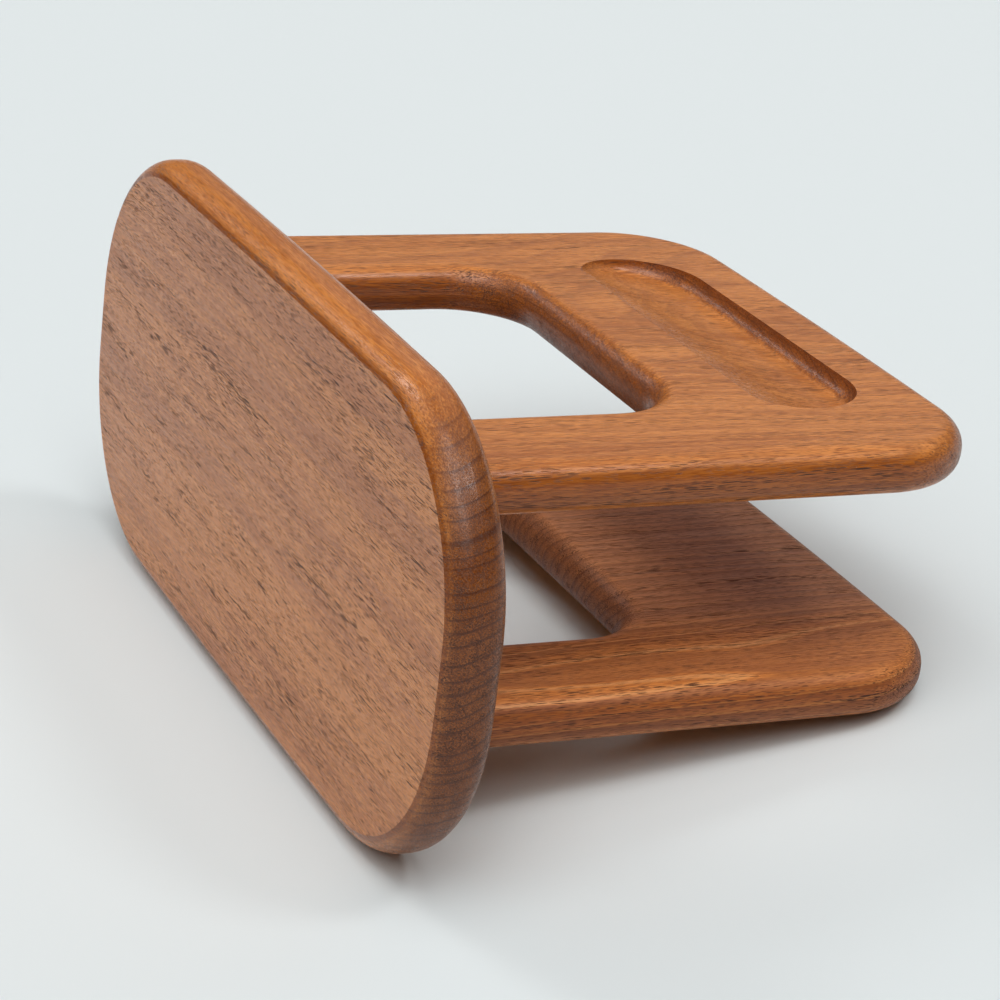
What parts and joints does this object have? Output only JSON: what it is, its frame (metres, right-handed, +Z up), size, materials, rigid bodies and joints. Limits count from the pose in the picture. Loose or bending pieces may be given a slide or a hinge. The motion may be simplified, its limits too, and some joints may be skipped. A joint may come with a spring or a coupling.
{
  "type": "desk telephone stand",
  "caption": "Wooden desk stand: a rounded back plate carries U-shaped shelves, one above the other, that slope to the front, with a pen tray cut in the upper shelf.",
  "frame": {"origin": "on the surface the stand rests on, under the middle of its bounding box", "axes": "+Z up, +X along the back plate, which is the longest way, -Y toward the front, where the pen tray is"},
  "size_m": [0.344, 0.2366, 0.1582],
  "materials": {
    "teak": "oiled teak, satin, with open pores",
    "beech_dowel": "plain unfinished beech"
  },
  "bodies": {
    "root": {"back_plate": "teak", "upper_shelf": "teak", "lower_shelf": "teak", "dowel_upper_left_inner": "beech_dowel", "dowel_upper_left_outer": "beech_dowel", "dowel_upper_right_inner": "beech_dowel", "dowel_upper_right_outer": "beech_dowel", "dowel_lower_left_inner": "beech_dowel", "dowel_lower_left_outer": "beech_dowel", "dowel_lower_right_inner": "beech_dowel", "dowel_lower_right_outer": "beech_dowel"}
  },
  "joints": []
}
